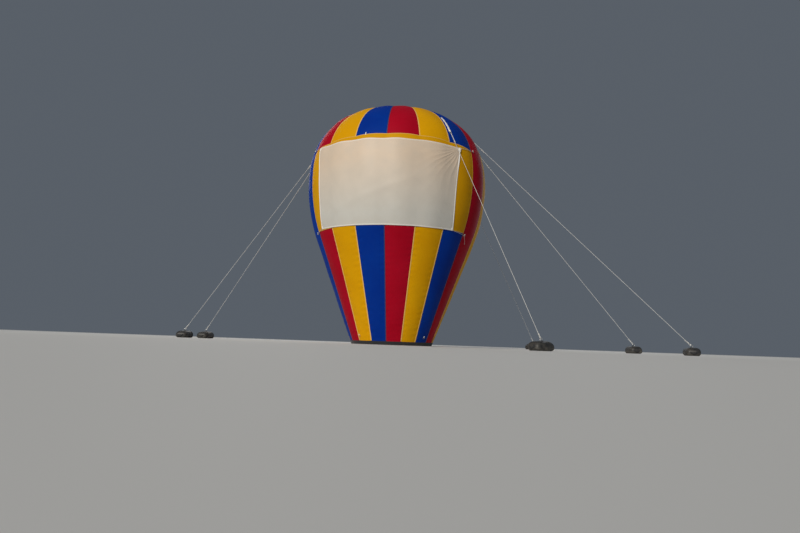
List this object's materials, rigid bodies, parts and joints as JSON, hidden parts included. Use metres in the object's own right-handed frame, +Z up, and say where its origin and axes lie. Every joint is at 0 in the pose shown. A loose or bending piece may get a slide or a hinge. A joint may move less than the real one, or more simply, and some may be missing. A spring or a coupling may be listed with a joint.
{
  "type": "cold-air advertising balloon",
  "caption": "Advertising balloon in a hot-air-balloon shape on a flat base: coloured gores, blank banner, guy ropes to ballast bags, and an inflation fan behind.",
  "frame": {"origin": "centre of the envelope's base, on the floor", "axes": "+Z up along the envelope's axis, -Y towards the banner, +X to the right of the banner as it is read"},
  "size_m": [12.3573, 7.5326, 6.012],
  "materials": {
    "cloth_red": "coated woven nylon, low sheen",
    "cloth_yellow": "coated woven nylon, low sheen",
    "cloth_blue": "coated woven nylon, low sheen",
    "banner_cloth": "woven banner cloth, matt",
    "webbing_white": "woven polyester webbing",
    "webbing_black": "woven polyester webbing",
    "rope": "laid polyester rope",
    "bag_cloth": "coated heavy cloth",
    "fan_paint": "satin powder coat",
    "fan_steel": "galvanised, dull",
    "fan_black": "satin powder coat",
    "box_plastic": "moulded, fine grain"
  },
  "bodies": {
    "balloon": {"ballast_bag_front_right": "bag_cloth", "ballast_bag_left": "bag_cloth", "ballast_bag_left_back": "bag_cloth", "ballast_bag_right": "bag_cloth", "ballast_bag_right_back": "bag_cloth", "ballast_bag_right_front": "bag_cloth", "banner": "banner_cloth", "banner_field": "cloth_yellow", "banner_tie_lower_left": "webbing_white", "banner_tie_lower_right": "webbing_white", "banner_tie_upper_left": "webbing_white", "banner_tie_upper_right": "webbing_white", "base_band": "webbing_black", "base_floor": "webbing_black", "base_tie_back_left": "webbing_white", "base_tie_back_right": "webbing_white", "base_tie_front_left": "webbing_white", "base_tie_front_right": "webbing_white", "crown_cap": "cloth_yellow", "fan_drum": "fan_paint", "fan_handle": "fan_black", "fan_inlet_guard": "fan_steel", "fan_motor": "fan_steel", "fan_stand": "fan_black", "fan_switch_box": "box_plastic", "gore_01": "cloth_red", "gore_02": "cloth_yellow", "gore_03": "cloth_blue", "gore_04": "cloth_red", "gore_05": "cloth_yellow", "gore_06": "cloth_blue", "gore_07": "cloth_red", "gore_08": "cloth_yellow", "gore_09": "cloth_blue", "gore_10": "cloth_red", "gore_11": "cloth_yellow", "gore_12": "cloth_blue", "gore_13": "cloth_red", "gore_14": "cloth_yellow", "gore_15": "cloth_blue", "gore_16": "cloth_red", "gore_17": "cloth_yellow", "gore_18": "cloth_blue", "guy_rope_front_right": "rope", "guy_rope_left": "rope", "guy_rope_left_back": "rope", "guy_rope_right": "rope", "guy_rope_right_back": "rope", "guy_rope_right_front": "rope", "guy_strap_front_right": "webbing_white", "guy_strap_left": "webbing_white", "guy_strap_left_back": "webbing_white", "guy_strap_right": "webbing_white", "guy_strap_right_back": "webbing_white", "guy_strap_right_front": "webbing_white", "inflation_sleeve": "cloth_blue", "sleeve_strap": "webbing_black"},
    "rotor": {"fan_rotor": "fan_black"}
  },
  "joints": [
    {"name": "fan_spin", "type": "hinge", "parent": "balloon", "child": "rotor", "pos_m": [-0.071, 1.515, 0.35], "axis": [0, 1, 0], "continuous": true}
  ]
}
